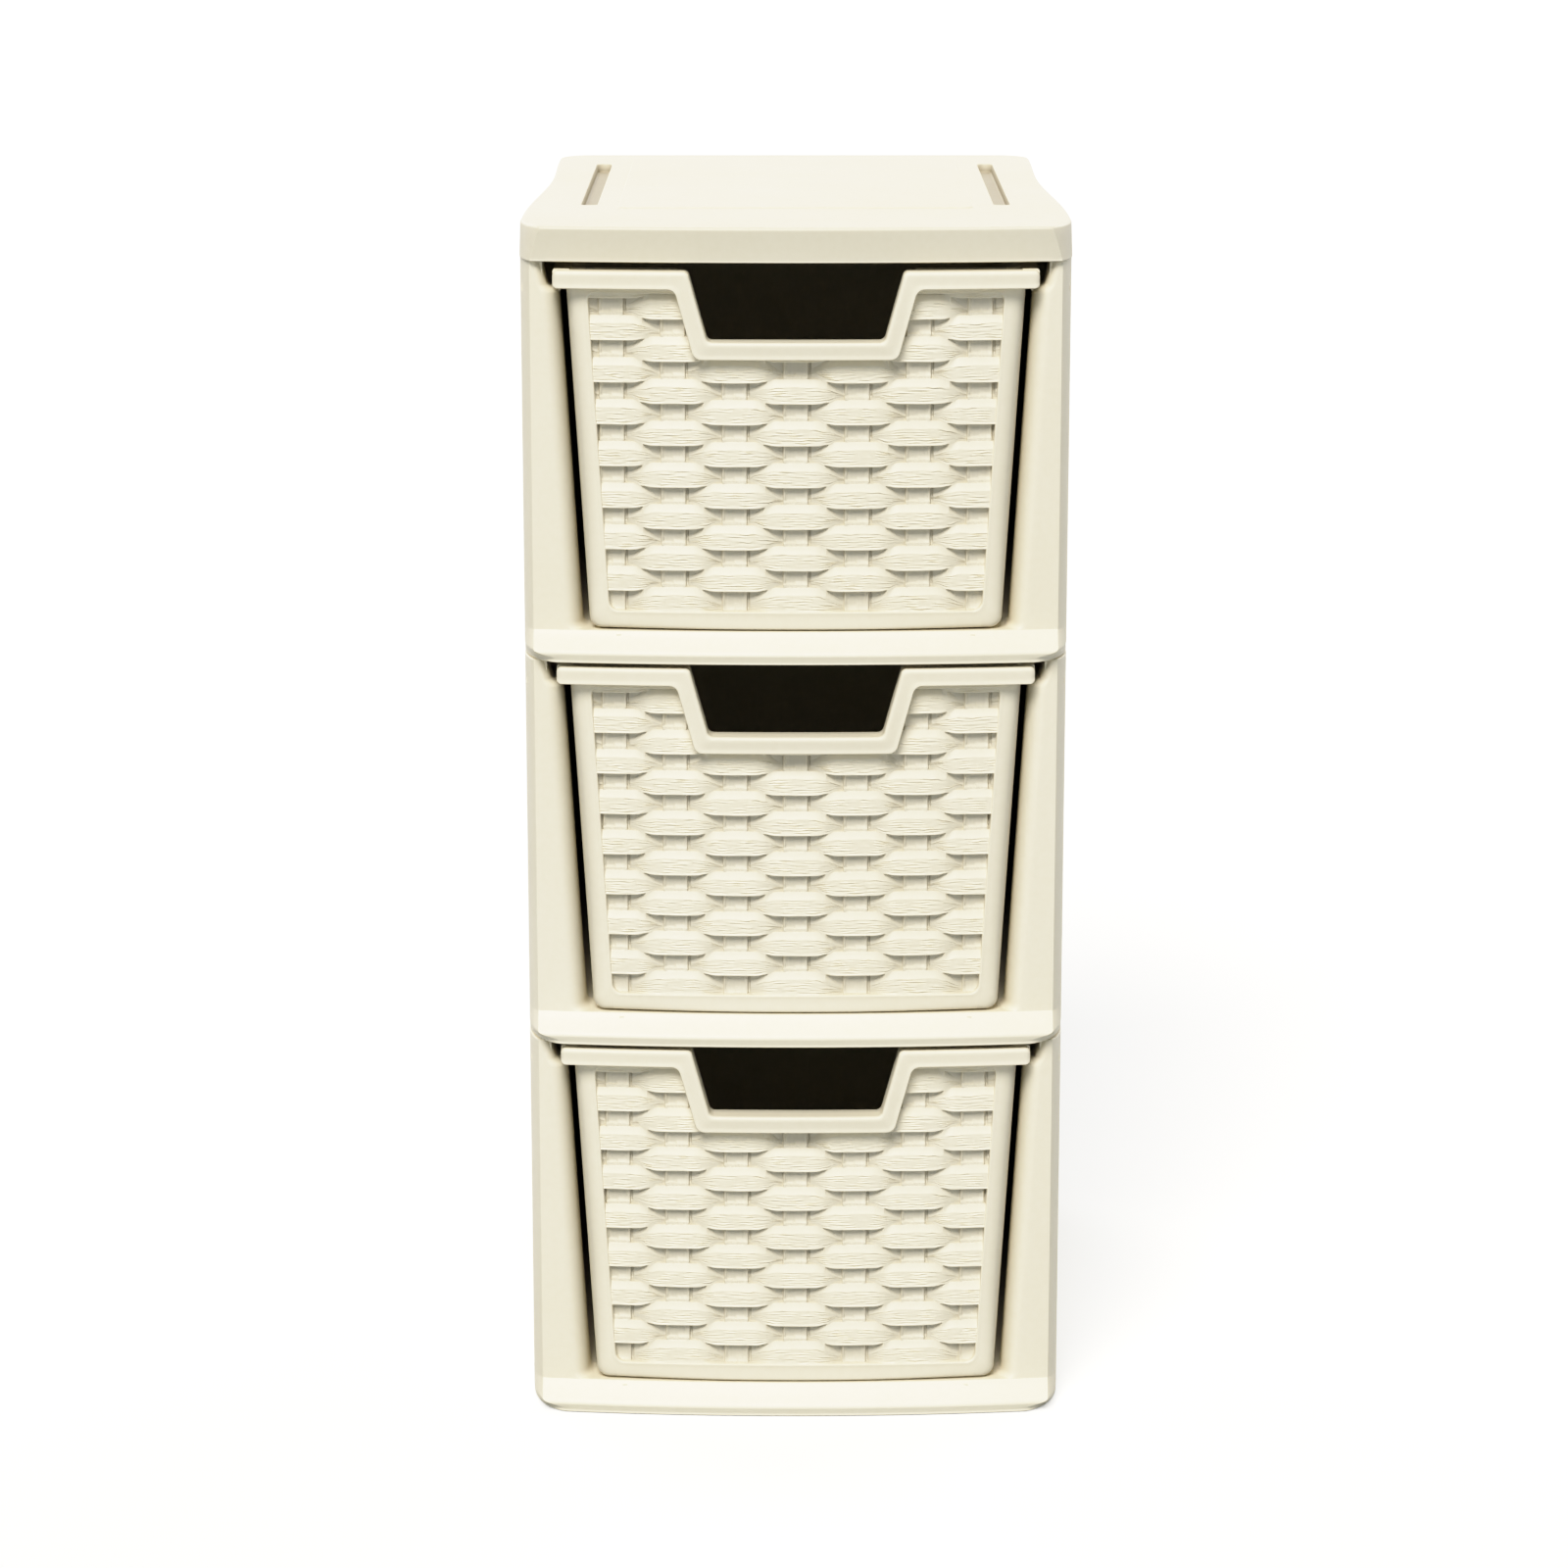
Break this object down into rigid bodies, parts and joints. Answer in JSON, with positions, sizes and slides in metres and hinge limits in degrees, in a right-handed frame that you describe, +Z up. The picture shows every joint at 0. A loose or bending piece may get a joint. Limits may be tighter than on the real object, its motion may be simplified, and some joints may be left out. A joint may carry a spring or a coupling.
{
  "type": "drawer tower",
  "caption": "Tall narrow moulded-plastic tower whose stacked open-fronted frames each carry a tapered, basket-weave-fronted pull-out drawer with a finger notch, under a flat cap.",
  "frame": {"origin": "centre of the footprint, on the surface the tower stands on", "axes": "+Z up, +X to the viewer's right, the drawers face -Y and pull out along -Y"},
  "size_m": [0.186, 0.25, 0.4176],
  "materials": {
    "cap_plastic": "satin, fine moulded grain",
    "frame_plastic": "satin, fine moulded grain",
    "drawer_plastic": "satin, woven relief on the front"
  },
  "bodies": {
    "tower": {"top_cap": "cap_plastic", "frame_upper": "frame_plastic", "frame_middle": "frame_plastic", "frame_lower": "frame_plastic"},
    "drawer_upper": {"drawer_upper": "drawer_plastic"},
    "drawer_middle": {"drawer_middle": "drawer_plastic"},
    "drawer_lower": {"drawer_lower": "drawer_plastic"}
  },
  "joints": [
    {"name": "slide_upper", "type": "slide", "parent": "tower", "child": "drawer_upper", "axis": [0, -1, 0], "range_m": [0, 0.16]},
    {"name": "slide_middle", "type": "slide", "parent": "tower", "child": "drawer_middle", "axis": [0, -1, 0], "range_m": [0, 0.16]},
    {"name": "slide_lower", "type": "slide", "parent": "tower", "child": "drawer_lower", "axis": [0, -1, 0], "range_m": [0, 0.16]}
  ]
}
